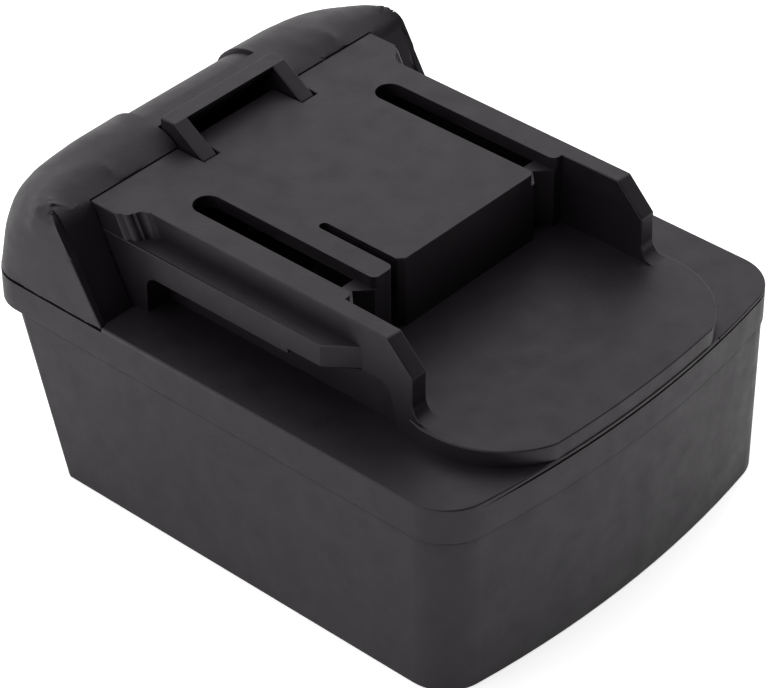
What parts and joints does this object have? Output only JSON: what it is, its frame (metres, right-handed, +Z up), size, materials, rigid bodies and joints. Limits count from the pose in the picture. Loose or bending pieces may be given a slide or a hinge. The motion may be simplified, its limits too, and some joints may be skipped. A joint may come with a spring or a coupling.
{
  "type": "tool battery adapter",
  "caption": "Black moulded battery adapter: slide rails and contact slots on top for a tool, a sprung release catch in a rear hump, and a slide-in socket for another pack below.",
  "frame": {"origin": "middle of the base plane, under the centre of the bounding box", "axes": "+X across the adapter to the right seen from its bowed front, +Y from the bowed front to the hump, +Z up from the pack socket to the tool rails"},
  "size_m": [0.076, 0.096, 0.0527],
  "materials": {
    "black_plastic": "fine moulded grain, satin edges",
    "latch_plastic": "fine moulded grain",
    "inner_plastic": "plain moulded",
    "contact_brass": "stamped strip",
    "spring_steel": "drawn wire",
    "screw_steel": "plated",
    "board_green": "solder-resist board",
    "chip_black": "moulded packages",
    "red_sleeve": "wire insulation",
    "black_sleeve": "wire insulation",
    "pale_sleeve": "wire insulation"
  },
  "bodies": {
    "adapter": {"lower_case": "black_plastic", "top_cover": "black_plastic", "latch_housing": "black_plastic", "latch_springs": "spring_steel", "terminal_carrier": "inner_plastic", "positive_contact": "contact_brass", "negative_contact": "contact_brass", "signal_contact": "contact_brass", "blade_holder": "inner_plastic", "positive_blade": "contact_brass", "negative_blade": "contact_brass", "signal_blade": "contact_brass", "circuit_board": "board_green", "board_components": "chip_black", "positive_lead": "red_sleeve", "negative_lead": "black_sleeve", "signal_lead": "pale_sleeve", "case_screws": "screw_steel", "carrier_screws": "screw_steel", "holder_screws": "screw_steel", "board_screws": "screw_steel"},
    "latch": {"release_latch": "latch_plastic"}
  },
  "joints": [
    {"name": "latch_slide", "type": "slide", "parent": "adapter", "child": "latch", "axis": [0, 0, -1], "range_m": [0, 0.0042], "stiffness_N_per_m": 700, "springref_m": -0.006, "deforming": ["latch_springs"]}
  ]
}
